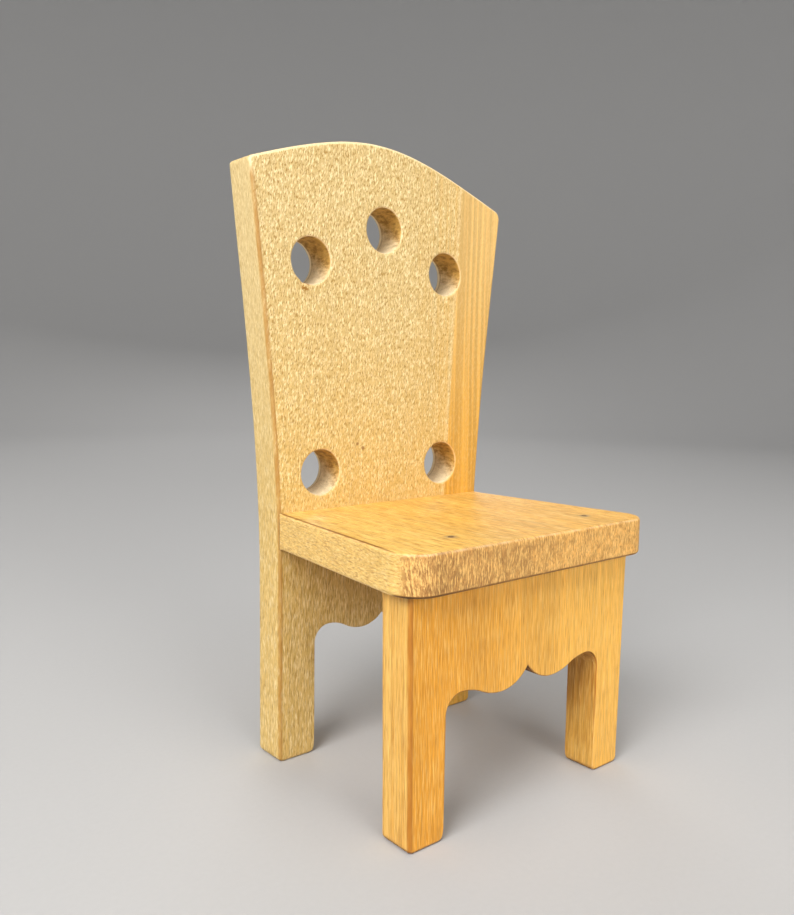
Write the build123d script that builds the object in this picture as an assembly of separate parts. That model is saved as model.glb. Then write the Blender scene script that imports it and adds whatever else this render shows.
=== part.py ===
from build123d import *
import os
from math import atan2, cos, isclose, radians, sin, tan

# Miniature four-legged chair: three sawn boards, butt-jointed with glue and brads.
# Millimetres, +Z up. The front faces -Y and +X is to the right seen from the front.
# The origin is on the floor, under the middle of the chair's outer box.

# ---- stock -------------------------------------------------------------------------------
board_thickness = 9.5     # of the seat and the front leg board
back_thickness = 10.3
edge_round = 0.8          # hand-sanded round on the arrises of the boards
foot_round = 1.5          # round on the bottom corners of the legs

# ---- back board --------------------------------------------------------------------------
back_width = 70.5         # at the feet, and up to where the sides start to flare
flare_start = 48.0        # height where the sides leave the vertical
flare_curve = 1.37        # lean of the sides at the shoulders: 1 is straight, 2 a round arc
crown_height = 164.0      # top of the crest, the chair's full height
crown_shift = -4.8        # the crest is highest a little left of the middle
shoulder_width = 87.4     # across the two upper corners
left_shoulder_drop = 9.0  # the upper corners lie this far below the crown
right_shoulder_drop = 12.4
left_crest_slope = 18.5   # degrees, where the crest meets the left shoulder
right_crest_slope = 19.5  # degrees, where it meets the right shoulder
left_shoulder_round = 1.2
right_shoulder_round = 2.6

# ---- holes in the back board: an arc of three under the crest, a pair above the seat -----
hole_diameter = 12.0
hole_rim_round = 0.6
crest_hole_drop = 22.2    # below the crown
crest_hole_shift = -1.5
upper_holes_drop = 32.3   # below the crown
upper_holes_spacing = 46.8
upper_holes_shift = -2.1
lower_holes_rise = 9.8    # above the seat
lower_holes_spacing = 43.0
lower_holes_shift = -0.7

# ---- seat board --------------------------------------------------------------------------
seat_height = 67.0        # top of the seat above the floor
seat_depth = 59.2         # from the back board's front face to the front edge
seat_front_width = 84.0   # across the front corners before they are rounded
seat_corner_round = 7.0

# ---- front leg board, set back under the seat --------------------------------------------
front_overhang = 4.5      # of the seat in front of the board
side_overhang = 3.65      # of the seat past each end of the board
front_leg_taper = 0.9     # each end leans in by this from the seat to the floor

# ---- gaps between the legs, with a scalloped upper edge ----------------------------------
rear_leg_width = 11.4
rear_apron_depth = 25.5   # from the seat's underside to the lowest point of the lobes
front_leg_width = 10.4    # at the floor
front_apron_depth = 27.4
arch_rise = 3.0           # of the arches beside the legs above the lobes
notch_slope = 54.0        # degrees, of the two lobes where they meet in the middle
lobe_share = 1 / 3        # of the half gap, from the notch out to the lowest point of a lobe
gap_corner_round = 4.6    # between a leg's inner edge and its arch

# ---- brads -------------------------------------------------------------------------------
brad_length = 20.0
brad_shank_diameter = 0.9
brad_head_diameter = 1.3
brad_head_height = 0.5
brad_tip_length = 1.2
brad_sink = 0.3           # how deep a head is set below the wood
brad_clearance = 0.02     # radial, between a brad and its hole
left_seat_brad_inset = 17.8    # from the ends of the front leg board: placed by hand
right_seat_brad_inset = 10.1
seat_brad_off_middle = 1.9     # behind the middle of the front leg board's top edge
back_brad_spacing = 44.0

# ---- places that follow from the sizes above ---------------------------------------------
back_rear_y = (seat_depth + back_thickness) / 2
back_front_y = back_rear_y - back_thickness
seat_front_y = back_front_y - seat_depth
seat_underside = seat_height - board_thickness
leg_board_front_y = seat_front_y + front_overhang
leg_board_rear_y = leg_board_front_y + board_thickness
seat_taper = (seat_front_width - back_width) * front_overhang / seat_depth
leg_board_width = seat_front_width - seat_taper - 2 * side_overhang
leg_board_foot_width = leg_board_width - 2 * front_leg_taper
left_shoulder = (-shoulder_width / 2, crown_height - left_shoulder_drop)
right_shoulder = (shoulder_width / 2, crown_height - right_shoulder_drop)
past_the_floor = 5.0      # the leg gaps are cut this far below the floor


def crest():
    """Crest line from the left shoulder over the crown to the right shoulder."""
    crown = (crown_shift, crown_height)
    rise, fall = radians(left_crest_slope), radians(right_crest_slope)
    tangents = [(cos(rise), sin(rise)), (cos(fall), -sin(fall))]
    return Spline(left_shoulder, crown, right_shoulder, tangents=tangents)


def flared_side(side, shoulder):
    """Side of the back board up to a shoulder: side is -1 for left and 1 for right."""
    outward = (shoulder_width - back_width) / 2
    lean = atan2(flare_curve * outward, shoulder[1] - flare_start)
    start = (side * back_width / 2, flare_start)
    return Spline(start, shoulder, tangents=[(0, 1), (side * sin(lean), cos(lean))])


def leg_gap(width, apron_depth):
    """Opening between two legs: from the cusp in the middle, a lobe, ogee, arch and corner each way."""
    inner_x = width / 2
    lobe_x = lobe_share * inner_x
    lobe_height = seat_underside - apron_depth
    arch_height = lobe_height + arch_rise
    lobe = (lobe_x, lobe_height)
    cusp = (0, lobe_height + lobe_x * tan(radians(notch_slope / 2)))
    arch = (inner_x - gap_corner_round, arch_height)
    ogee_middle = ((lobe[0] + arch[0]) / 2, (lobe[1] + arch[1]) / 2)
    spring = (inner_x, arch_height - gap_corner_round)
    foot = (inner_x, -past_the_floor)
    half = [
        TangentArc(lobe, cusp, tangent=(-1, 0)),
        TangentArc(lobe, ogee_middle, tangent=(1, 0)),
        TangentArc(arch, ogee_middle, tangent=(-1, 0)),
        TangentArc(arch, spring, tangent=(1, 0)),
        Line(spring, foot),
    ]
    other_half = [edge.mirror(Plane.YZ) for edge in half]
    closing_line = Line(foot, (-inner_x, -past_the_floor))
    return make_face([*half, closing_line, *other_half])


def round_feet(outline):
    """Round the corners where the legs stand on the floor."""
    return fillet(outline.vertices().group_by(Axis.Y)[0], foot_round)


def upright_board(outline, rear_y, thickness):
    """Saw an outline drawn in x and z out of a board, with its rear face at rear_y."""
    rear_plane = Plane((0, rear_y, 0), x_dir=(1, 0, 0), z_dir=(0, -1, 0))
    return extrude(rear_plane * outline, thickness)


def ease(piece, face_axis, is_left_sharp):
    """Sand the arrises round the two broad faces, apart from those that are left sharp."""
    edges = [edge for face in piece.faces().filter_by(face_axis) for edge in face.edges()]
    return fillet(ShapeList(edge for edge in edges if not is_left_sharp(edge)), edge_round)


def hole_places():
    """Centres of the five holes as (x, z)."""
    places = [(crest_hole_shift, crown_height - crest_hole_drop)]
    for side in (-1, 1):
        upper_x = upper_holes_shift + side * upper_holes_spacing / 2
        lower_x = lower_holes_shift + side * lower_holes_spacing / 2
        places += [(upper_x, crown_height - upper_holes_drop), (lower_x, seat_height + lower_holes_rise)]
    return places


def is_hole_rim(edge):
    return edge.geom_type == GeomType.CIRCLE and isclose(edge.radius, hole_diameter / 2)


def turned_brad(place, inward, clearance, mouth):
    """Head, shank and point on the axis that enters the wood at place."""
    head = brad_head_diameter / 2 + clearance
    shank = brad_shank_diameter / 2 + clearance
    profile = Polyline(
        (0, mouth),
        (head, mouth),
        (head, -brad_head_height),
        (shank, -brad_head_height),
        (shank, brad_tip_length - brad_length),
        (0, -brad_length - clearance),
        close=True,
    )
    solid = revolve(make_face(Plane.XZ * profile), Axis.Z)
    head_top = Vector(place) + Vector(inward) * brad_sink
    return Plane(head_top, z_dir=-Vector(inward)) * solid


def brads(places, inward):
    return Compound(children=[turned_brad(place, inward, 0, 0) for place in places])


def brad_holes(places, inward):
    return [turned_brad(place, inward, brad_clearance, brad_sink) for place in places]


def seat_brad_places():
    """Where the brads enter the top of the seat, above the front leg board."""
    y = (leg_board_front_y + leg_board_rear_y) / 2 + seat_brad_off_middle
    left_x = left_seat_brad_inset - leg_board_width / 2
    right_x = leg_board_width / 2 - right_seat_brad_inset
    return [(left_x, y, seat_height), (right_x, y, seat_height)]


def back_brad_places():
    """Where the brads enter the rear face, level with the middle of the seat's thickness."""
    z = (seat_height + seat_underside) / 2
    return [(side * back_brad_spacing / 2, back_rear_y, z) for side in (-1, 1)]


DOWN, FORWARD = (0, 0, -1), (0, -1, 0)


def back_board():
    half = back_width / 2
    outline = make_face([
        crest(),
        flared_side(1, right_shoulder),
        Line((half, flare_start), (half, 0)),
        Line((half, 0), (-half, 0)),
        Line((-half, 0), (-half, flare_start)),
        flared_side(-1, left_shoulder),
    ])
    shoulders = ((left_shoulder, left_shoulder_round), (right_shoulder, right_shoulder_round))
    for corner, radius in shoulders:
        outline = fillet(outline.vertices().sort_by_distance(corner)[0], radius)
    outline -= leg_gap(back_width - 2 * rear_leg_width, rear_apron_depth)
    outline = round_feet(outline)
    outline -= [Pos(x, z) * Circle(hole_diameter / 2) for x, z in hole_places()]
    piece = ease(upright_board(outline, back_rear_y, back_thickness), Axis.Y, is_hole_rim)
    piece = fillet(piece.edges().filter_by(is_hole_rim), hole_rim_round)
    return piece - brad_holes(back_brad_places(), FORWARD)


def seat_board():
    rear, front = back_width / 2, seat_front_width / 2
    corners = [(-rear, back_front_y), (rear, back_front_y), (front, seat_front_y), (-front, seat_front_y)]
    outline = make_face(Polyline(corners, close=True))
    outline = fillet(outline.vertices().group_by(Axis.Y)[0], seat_corner_round)
    piece = extrude(Plane.XY.offset(seat_underside) * outline, board_thickness)
    piece = ease(piece, Axis.Z, lambda edge: edge.center().Y > back_front_y - edge_round)
    piece -= brad_holes(seat_brad_places(), DOWN)
    return piece - brad_holes(back_brad_places(), FORWARD)


def front_leg_board():
    top, foot = leg_board_width / 2, leg_board_foot_width / 2
    corners = [(-foot, 0), (foot, 0), (top, seat_underside), (-top, seat_underside)]
    outline = make_face(Polyline(corners, close=True))
    outline -= leg_gap(leg_board_foot_width - 2 * front_leg_width, front_apron_depth)
    piece = upright_board(round_feet(outline), leg_board_rear_y, board_thickness)
    piece = ease(piece, Axis.Y, lambda edge: edge.center().Z > seat_underside - edge_round)
    return piece - brad_holes(seat_brad_places(), DOWN)


pieces = {
    "back_board": back_board(),
    "seat_board": seat_board(),
    "front_leg_board": front_leg_board(),
    "seat_brads": brads(seat_brad_places(), DOWN),
    "back_brads": brads(back_brad_places(), FORWARD),
}

os.makedirs("parts", exist_ok=True)
for name, shape in pieces.items():
    export_step(shape, f"parts/{name}.step")
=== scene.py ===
"""Looks of a miniature four-legged chair, sawn from three boards of pale hardwood.

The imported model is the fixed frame. Each operator builds one board, one pair of brads or the stage.
Lengths are in metres, and the wood patterns are worked out in millimetres.
"""
import math
import random

import bpy
import numpy as np
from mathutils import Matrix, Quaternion, Vector, noise
from mathutils.geometry import delaunay_2d_cdt


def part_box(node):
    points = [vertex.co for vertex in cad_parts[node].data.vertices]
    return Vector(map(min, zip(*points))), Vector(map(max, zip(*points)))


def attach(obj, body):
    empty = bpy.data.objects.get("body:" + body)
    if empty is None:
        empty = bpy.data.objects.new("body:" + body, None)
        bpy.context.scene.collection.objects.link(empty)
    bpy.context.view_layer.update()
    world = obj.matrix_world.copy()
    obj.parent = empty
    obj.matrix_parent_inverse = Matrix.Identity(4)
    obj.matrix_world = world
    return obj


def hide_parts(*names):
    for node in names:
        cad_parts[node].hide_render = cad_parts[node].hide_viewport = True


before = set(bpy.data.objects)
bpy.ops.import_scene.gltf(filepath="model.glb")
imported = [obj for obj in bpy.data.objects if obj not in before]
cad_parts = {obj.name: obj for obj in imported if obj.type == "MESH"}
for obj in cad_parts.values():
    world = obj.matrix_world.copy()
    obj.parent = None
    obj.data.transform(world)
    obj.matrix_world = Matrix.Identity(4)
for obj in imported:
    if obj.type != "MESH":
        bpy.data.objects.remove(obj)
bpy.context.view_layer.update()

bl_info = {
    "name": "Miniature chair looks",
    "version": (1, 0, 0),
    "blender": (4, 5, 0),
    "location": "3D View > Sidebar > Chair",
    "description": "Builds the sawn boards, brads and stage of a miniature chair",
    "category": "Object",
}

MM = 0.001
CURVE_STEP = 0.62 * MM        # between points along an outline
FACE_STEP = 1.5 * MM          # between points inside a broad face
ARRIS_STEPS = 4               # rings round a quarter of an arris
WALL_STEP = 1.0 * MM          # between rings across the thickness of a board
SUPPORT = 0.22 * MM           # flat margin kept beside each arris
FACE_JITTER = 0.16            # random shift of the points inside a face, as a share of FACE_STEP
FACE_MARGIN = 0.62            # least way from such a point to the face's border, in the same way
SAW_WAVES = 900.0             # noise cells per metre in the unevenness of the sawn edges
SLOW_WAVES, QUICK_WAVES = 95.0, 420.0     # and in that of the hand-sanded faces
HOLE_POINTS = 96
BRAD_HOLE_POINTS = 20
BRAD_TURNS = 24
BRAD_LIP = 0.12 * MM          # wood turned in round a sunk brad head
BRAD_TIP = 1.2 * MM
SHANK_SHARE = 0.9 / 1.3       # shank of a brad, as a share of its head's width
HEAD_HEIGHT = 0.5 * MM
JOINT_REACH = 2.2 * MM        # from a joint down to where the full arris is back
X, Y, Z = 0, 1, 2


# ---- sizes and colours that a user may change ----

def length(name, description, millimetres):
    """A length property whose default is given in millimetres."""
    return bpy.props.FloatProperty(
        name=name, description=description, default=millimetres * MM, unit="LENGTH", precision=5)


def slope(name, description, degrees):
    """An angle property whose default is given in degrees."""
    return bpy.props.FloatProperty(
        name=name, description=description, default=math.radians(degrees), unit="ROTATION")


def share(name, description, default, top=1.0):
    """A plain factor from nought upwards."""
    return bpy.props.FloatProperty(
        name=name, description=description, default=default, min=0.0, max=top)


def colour(name, description, *channels):
    """A property for a linear red, green and blue."""
    return bpy.props.FloatVectorProperty(
        name=name, description=description, default=channels, subtype="COLOR", min=0.0, max=1.0)


class BackSizes(bpy.types.PropertyGroup):
    """Outline and holes of the back board."""
    flare_start: length("Flare start", "Height where the sides leave the vertical", 48.0)
    flare_curve: share("Flare curve", "Lean of the sides at the shoulders: 1 is straight", 1.37, 2.0)
    foot_width: length("Foot width", "Width at the feet, up to the flare", 70.5)
    shoulder_width: length("Shoulder width", "Width across the two upper corners", 87.4)
    crown_shift: length("Crown shift", "Highest point of the crest, to the right of the middle", -4.8)
    left_drop: length("Left shoulder drop", "Left upper corner below the crown", 9.0)
    right_drop: length("Right shoulder drop", "Right upper corner below the crown", 12.4)
    left_slope: slope("Left crest slope", "Slope of the crest at the left shoulder", 18.5)
    right_slope: slope("Right crest slope", "Slope of the crest at the right shoulder", 19.5)
    left_round: length("Left shoulder round", "Radius of the left upper corner", 1.2)
    right_round: length("Right shoulder round", "Radius of the right upper corner", 2.6)
    hole_diameter: length("Hole diameter", "Diameter of the five holes", 12.0)
    crest_hole_drop: length("Crest hole drop", "Middle upper hole below the crown", 22.2)
    crest_hole_shift: length("Crest hole shift", "Middle upper hole from the middle", -1.5)
    upper_drop: length("Upper holes drop", "Outer upper holes below the crown", 32.3)
    upper_spacing: length("Upper holes spacing", "Between the outer upper holes", 46.8)
    upper_shift: length("Upper holes shift", "Middle of the outer upper pair from the middle", -2.1)
    lower_rise: length("Lower holes rise", "Lower holes above the seat", 9.8)
    lower_spacing: length("Lower holes spacing", "Between the lower holes", 43.0)
    lower_shift: length("Lower holes shift", "Middle of the lower pair from the middle", -0.7)
    leg_width: length("Rear leg width", "Width of each rear leg", 11.4)
    apron_depth: length("Rear apron depth", "From the seat's underside to the lobes", 25.5)


class SeatSizes(bpy.types.PropertyGroup):
    """Outline of the seat."""
    front_width: length("Front width", "Across the front corners before they are rounded", 84.0)
    corner_round: length("Corner round", "Radius of the two front corners", 7.0)


class LegSizes(bpy.types.PropertyGroup):
    """Outline of the front leg board."""
    taper: length("Taper", "Each end leans in by this from the seat to the floor", 0.9)
    leg_width: length("Front leg width", "Width of each leg at the floor", 10.4)
    apron_depth: length("Front apron depth", "From the seat's underside to the lobes", 27.4)


class SawnSizes(bpy.types.PropertyGroup):
    """Sizes that the boards share."""
    arris: length("Arris", "Sanded round on the edges of the boards", 0.8)
    joint_arris: length("Joint arris", "Small round left on the edges that meet another board", 0.22)
    gap_arris: length("Gap arris", "Sharper round on the sawn edges between the legs", 0.4)
    rim: length("Hole rim", "Round on the rims of the holes", 0.6)
    foot_round: length("Foot round", "Radius of the bottom corners of the legs", 1.5)
    arch_rise: length("Arch rise", "Arches beside the legs above the lobes", 3.0)
    gap_round: length("Gap round", "Radius between a leg's inner edge and its arch", 4.6)
    notch_slope: slope("Notch slope", "Slope of the lobes where they meet", 54.0)
    lobe_share: share("Lobe share", "Lowest point of a lobe, as a share of the half gap", 1 / 3)
    roughness: length("Roughness", "Unevenness of the sawn edges", 0.03)
    sanding: length("Sanding", "Height of the hand-sanded unevenness", 0.05)
    brad_clearance: length("Brad clearance", "Between a brad and its hole", 0.02)


class WoodColours(bpy.types.PropertyGroup):
    """Colours of the wood."""
    pale: colour("Pale wood", "Upper part of the back board", 0.68, 0.50, 0.215)
    warm: colour("Warm wood", "Lower part of the back board", 0.69, 0.46, 0.138)
    strip: colour("Dark strip", "Heartwood strip at the right of the back", 0.76, 0.40, 0.055)
    seat: colour("Seat", "Top of the seat", 0.76, 0.43, 0.085)
    legs: colour("Legs", "Front leg board", 0.70, 0.305, 0.024)
    end_grain: colour("End grain", "Sawn ends of the boards", 0.55, 0.27, 0.07)
    # The torn and clean bore colours also serve as painted shade on the upper walls of the holes and
    # painted light on the lower ones.
    bored: colour("Torn bore", "Rough upper walls of the holes", 0.46, 0.225, 0.032)
    lit_cut_wall: colour("Clean bore", "Cleanly cut walls of the holes", 0.96, 0.80, 0.52)
    worn: colour("Worn arris", "Where handling has paled the arrises", 0.88, 0.64, 0.38)
    # This colour serves real specks on the back and the seat's lines, which are partly painted shade.
    stain: colour("Stain", "Brown lines on the seat and specks on the back", 0.27, 0.12, 0.025)
    brad: colour("Brad", "Darkened steel of the brads", 0.10, 0.075, 0.055)


class StageColours(bpy.types.PropertyGroup):
    """Floor and lights."""
    floor: colour("Floor", "Pale studio floor", 0.46, 0.46, 0.46)
    light: share("Light", "Strength of the whole lighting", 1.0, 10.0)


# ---- outlines ----

def unit(vector):
    """The same direction with a length of one."""
    return vector / np.hypot(*vector)


def straight(start, end):
    """A stroke of two points."""
    return np.array([start, end], float)


def tangent_arc(start, tangent, end, steps=24):
    """Points of the arc that leaves start along tangent and ends at end."""
    start, end, tangent = np.array(start, float), np.array(end, float), unit(np.array(tangent, float))
    normal = np.array([-tangent[1], tangent[0]])
    chord = end - start
    radius = chord @ chord / (2 * (chord @ normal))
    centre = start + radius * normal
    turn = 2 * math.atan2(chord @ normal, chord @ tangent)
    angles = np.linspace(0, turn, steps + 1)
    spoke = start - centre
    return np.stack([
        centre[0] + spoke[0] * np.cos(angles) - spoke[1] * np.sin(angles),
        centre[1] + spoke[0] * np.sin(angles) + spoke[1] * np.cos(angles),
    ], 1)


def spline(points, start_tangent, end_tangent, steps=60):
    """Smooth curve through two or three points with unit tangents given at its ends."""
    points = np.array(points, float)
    tangents = [np.array(start_tangent, float), np.array(end_tangent, float)]
    chords = np.hypot(*np.diff(points, axis=0).T)
    if len(points) == 3:
        first, last = chords
        slopes = np.diff(points, axis=0) / chords[:, None]
        middle = (3 * (slopes[0] * last + slopes[1] * first) - last * tangents[0] - first * tangents[1])
        tangents.insert(1, middle / (2 * (first + last)))
    t = np.linspace(0, 1, steps + 1)[:, None]
    return np.concatenate([
        (2 * t**3 - 3 * t**2 + 1) * points[i] + (t**3 - 2 * t**2 + t) * chord * tangents[i]
        + (3 * t**2 - 2 * t**3) * points[i + 1] + (t**3 - t**2) * chord * tangents[i + 1]
        for i, chord in enumerate(chords)
    ])


def trimmed(stroke, start_cut, end_cut):
    """The stroke without its ends, with points about one curve step apart."""
    walked = np.concatenate([[0], np.cumsum(np.hypot(*np.diff(stroke, axis=0).T))])
    end = walked[-1] - end_cut
    steps = max(1, round((end - start_cut) / CURVE_STEP))
    places = np.linspace(start_cut, end, steps + 1)
    return np.stack([np.interp(places, walked, stroke[:, k]) for k in (0, 1)], 1)


def corner_cut(before, after, radius):
    """How much of two strokes the round between them takes up."""
    if not radius:
        return 0.0
    arriving, leaving = unit(before[-1] - before[-2]), unit(after[1] - after[0])
    turn = math.acos(max(-1.0, min(1.0, float(arriving @ leaving))))
    return radius * math.tan(turn / 2)


def closed_outline(strokes):
    """A closed loop from (stroke, radius of the corner at the stroke's start) pairs."""
    points, pieces = [], []
    later = strokes[1:] + strokes[:1]
    for i, ((stroke, radius), (after, next_radius)) in enumerate(zip(strokes, later)):
        start_cut = corner_cut(strokes[i - 1][0], stroke, radius)
        pieces.append(trimmed(stroke, start_cut, corner_cut(stroke, after, next_radius)))
    for piece, following, (_, radius) in zip(pieces, pieces[1:] + pieces[:1], later):
        points += list(piece)
        if radius:
            steps = max(4, round(radius * 1.6 / CURVE_STEP))
            arc = tangent_arc(piece[-1], piece[-1] - piece[-2], following[0], steps)
            points += list(arc[1:-1])
        else:
            points.pop()
    return np.array(points)


def leg_gap(inner_x, lobe_z, sawn):
    """Strokes from the foot of the left leg's inner edge over the scallops to the right one's."""
    lobe_x = sawn.lobe_share * inner_x
    cusp = (0.0, lobe_z + lobe_x * math.tan(sawn.notch_slope / 2))
    lobe = (lobe_x, lobe_z)
    arch = (inner_x - sawn.gap_round, lobe_z + sawn.arch_rise)
    middle = ((lobe[0] + arch[0]) / 2, (lobe[1] + arch[1]) / 2)
    spring = (inner_x, arch[1] - sawn.gap_round)
    half = [
        tangent_arc(lobe, (-1, 0), cusp)[::-1],
        tangent_arc(lobe, (1, 0), middle),
        tangent_arc(arch, (-1, 0), middle)[::-1],
        tangent_arc(arch, (1, 0), spring),
        straight(spring, (inner_x, 0.0)),
    ]
    mirrored = [(stroke * np.array([-1.0, 1.0]))[::-1] for stroke in half[::-1]]
    return mirrored + half


def feet(outer_x, inner_x, lobe_z, sawn):
    """Strokes and corner rounds from the left foot's outer corner to the right foot's."""
    first, *others = leg_gap(inner_x, lobe_z, sawn)
    return [
        (straight((-outer_x, 0), (-inner_x, 0)), sawn.foot_round),
        (first, sawn.foot_round), *[(stroke, 0) for stroke in others],
        (straight((inner_x, 0), (outer_x, 0)), sawn.foot_round),
    ]


def arris_rounds(outline, inner_x, lobe_z, sawn):
    """Round of the arris at each point of a leg board's outline: sharper between the legs."""
    across, up = np.abs(outline[:, 0]), outline[:, 1]
    over_lobes, slack = lobe_z + 6 * MM, 0.02 * MM
    above_feet = np.clip(up / (2 * MM) - 0.5, 0, 1)
    in_gap = (across < inner_x + slack) * (up < over_lobes) * above_feet
    return sawn.arris + (sawn.gap_arris - sawn.arris) * in_gap


def near_joint(outline, top):
    """Rises from nought to one towards top, where the outline meets another board."""
    return np.clip((outline[:, 1] - (top - JOINT_REACH)) / (2 * MM), 0, 1)


def circle(x, y, radius, count):
    """Points round a hole, clockwise, so that the wood lies on the left like round an outline."""
    angles = -np.linspace(0, 2 * math.pi, count, endpoint=False)
    return np.stack([x + radius * np.cos(angles), y + radius * np.sin(angles)], 1)


def inward_normals(loop):
    """Mitred normals that point into the wood, which lies on the left of the loop."""
    edges = np.roll(loop, -1, 0) - loop
    edges /= np.hypot(*edges.T)[:, None]
    normals = np.stack([-edges[:, 1], edges[:, 0]], 1)
    before = np.roll(normals, 1, 0)
    return (before + normals) / (1 + (before * normals).sum(1))[:, None]


def inside(points, loops):
    """Which points lie in the wood, by the even-odd rule over all the loops."""
    result = np.zeros(len(points), bool)
    x, y = points[:, 0], points[:, 1]
    for loop in loops:
        for (x0, y0), (x1, y1) in zip(loop, np.roll(loop, -1, 0)):
            if y0 != y1:
                crosses = (y0 > y) != (y1 > y)
                result ^= crosses & (x < (x1 - x0) * (y - y0) / (y1 - y0) + x0)
    return result


# ---- boards ----

class Board:
    """Mesh of one sawn board, drawn as an outline (u, v) with depth w behind its front face."""

    def __init__(self, thickness, place, seed, left_side):
        """Place turns (u, v, w) into a point. Left side holds the (u, v) points of the left edge."""
        self.thickness = thickness
        self.place = place
        self.left_side = np.array(left_side)
        self.random = random.Random(seed)
        self.shift = Vector((seed * 3.7, seed * 1.9, seed * 5.3))
        self.vertices, self.faces = [], []
        self.marks = {"worn": [], "bored": [], "stain": []}
        self.front_rings, self.rear_rings = [], []

    def point(self, u, v, w, **marks):
        """Add a vertex and give its number. Marks that aren't named are nought."""
        self.vertices.append((u, v, w))
        for name, values in self.marks.items():
            values.append(marks.get(name, 0.0))
        return len(self.vertices) - 1

    def ring(self, outline, depths, **marks):
        return [self.point(u, v, depth, **marks) for (u, v), depth in zip(outline, depths)]

    def bridge(self, first, second):
        """Faces between two rings of the same length."""
        count = len(first)
        for i in range(count):
            j = (i + 1) % count
            self.faces.append((first[i], second[i], second[j], first[j]))

    def edge(self, loop, front_round, rear_round, rough, bored=0.0, handled=1.0):
        """Round the arrises of a loop and join them by its wall. Rounds hold one radius per point."""
        inward = inward_normals(loop)
        sides, walls = [], []
        for is_front, rounds in ((True, front_round), (False, rear_round)):
            flat = loop + inward * (rounds + SUPPORT)[:, None]
            side = [self.ring(flat, np.full(len(loop), 0.0 if is_front else self.thickness))]
            bored_from = 0.8 if is_front else 1.5
            for turned in np.linspace(0, math.pi / 2, ARRIS_STEPS + 1):
                bent = loop + inward * (rounds * (1 - math.sin(turned)))[:, None]
                sink = rounds * (1 - math.cos(turned))
                side.append(self.ring(
                    bent, sink if is_front else self.thickness - sink,
                    worn=handled * max(0.0, math.sin(2 * turned)) ** 0.7,
                    bored=bored * (turned > bored_from)))
            sides.append(side)
        front, rear = sides
        steps = max(2, round(self.thickness / WALL_STEP))
        for k in range(1, steps):
            depths = front_round + (self.thickness - front_round - rear_round) * (k / steps)
            wobble = np.array([
                noise.noise(Vector((u * SAW_WAVES, v * SAW_WAVES, k * 0.9)) + self.shift)
                for u, v in loop])
            walls.append(self.ring(loop + inward * (rough * wobble)[:, None], depths, bored=bored))
        chain = front + walls + rear[::-1]
        for first, second in zip(chain, chain[1:]):
            self.bridge(first, second)
        self.front_rings.append(front[0])
        self.rear_rings.append(rear[0])

    def brad_bore(self, x, y, head, shank, step, head_in_front):
        """A stained hole right through the board for a brad, from its head's radius to its shank's."""
        radii = (head + BRAD_LIP, head, head, shank, shank)
        depths = [0.0, 0.05 * MM, step, step, self.thickness]
        if not head_in_front:
            depths = [self.thickness - depth for depth in depths]
        rings = [
            self.ring(circle(x, y, radius, BRAD_HOLE_POINTS), np.full(BRAD_HOLE_POINTS, depth),
                      bored=1.0 if k else 0.4, stain=0.9 if k else 0.5)
            for k, (radius, depth) in enumerate(zip(radii, depths))
        ]
        if not head_in_front:
            rings.reverse()
        for first, second in zip(rings, rings[1:]):
            self.bridge(first, second)
        self.front_rings.append(rings[0])
        self.rear_rings.append(rings[-1])

    def fill(self, rings, w, is_front):
        """Close a broad face between its rings with an even net of triangles."""
        loops = [np.array([self.vertices[i][:2] for i in ring]) for ring in rings]
        low, high = loops[0].min(0), loops[0].max(0)
        row_step = FACE_STEP * math.sqrt(3) / 2
        rows = np.arange(low[1], high[1], row_step)
        grid = np.array([
            (x + (FACE_STEP / 2 if k % 2 else 0.0), y)
            for k, y in enumerate(rows) for x in np.arange(low[0], high[0], FACE_STEP)
        ])
        grid += np.array([
            [self.random.uniform(-FACE_JITTER, FACE_JITTER) * FACE_STEP for _ in (X, Y)] for _ in grid])
        grid = grid[inside(grid, loops)]
        borders = np.concatenate(loops)
        gaps = np.array([((borders - spot) ** 2).sum(1).min() for spot in grid])
        grid = grid[gaps > (FACE_MARGIN * FACE_STEP) ** 2]
        indices = [i for ring in rings for i in ring] + [self.point(x, y, w) for x, y in grid]
        edges, start = [], 0
        for ring in rings:
            count = len(ring)
            edges += [(start + i, start + (i + 1) % count) for i in range(count)]
            start += count
        flat = [Vector(self.vertices[i][:2]) * 1000 for i in indices]
        points, _, triangles, sources, _, _ = delaunay_2d_cdt(flat, edges, [], 0, 1e-7)
        corners = np.array([list(triangle) for triangle in triangles])
        spots = np.array([tuple(point) for point in points]) / 1000
        kept = inside(spots[corners].mean(1), loops)
        lookup = [indices[source[0]] for source in sources]
        for a, b, c in corners[kept]:
            face = (lookup[a], lookup[b], lookup[c])
            self.faces.append(face if is_front else face[::-1])

    def mesh(self, name, unevenness):
        """The finished mesh, with its marks as attributes and a faint hand-sanded unevenness."""
        self.fill(self.front_rings, 0.0, True)
        self.fill(self.rear_rings, self.thickness, False)
        placed = [Vector(self.place(*vertex)) for vertex in self.vertices]
        data = bpy.data.meshes.new(name)
        data.from_pydata(placed, [], self.faces)
        data.update()
        across, up, sunk = np.array(self.vertices).T
        side = np.interp(up, self.left_side[:, 1], self.left_side[:, 0])
        self.marks["left"], self.marks["sunk"] = list((across - side) / MM), list(sunk / MM)
        normals = np.zeros(len(placed) * 3)
        data.vertices.foreach_get("normal", normals)
        moved = []
        for at, normal in zip(placed, normals.reshape(-1, 3)):
            slow = noise.noise(at * SLOW_WAVES + self.shift)
            quick = noise.noise(at * QUICK_WAVES - self.shift)
            moved.append(at + Vector(normal) * unevenness * (0.75 * slow + 0.25 * quick - 0.35))
        for vertex, at in zip(data.vertices, moved):
            vertex.co = at
        for mark, values in self.marks.items():
            data.attributes.new(mark, "FLOAT", "POINT").data.foreach_set("value", values)
        data.shade_smooth()
        data.update()
        return data


def settings():
    """The chair's settings in this scene."""
    return bpy.context.scene.chair


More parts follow.
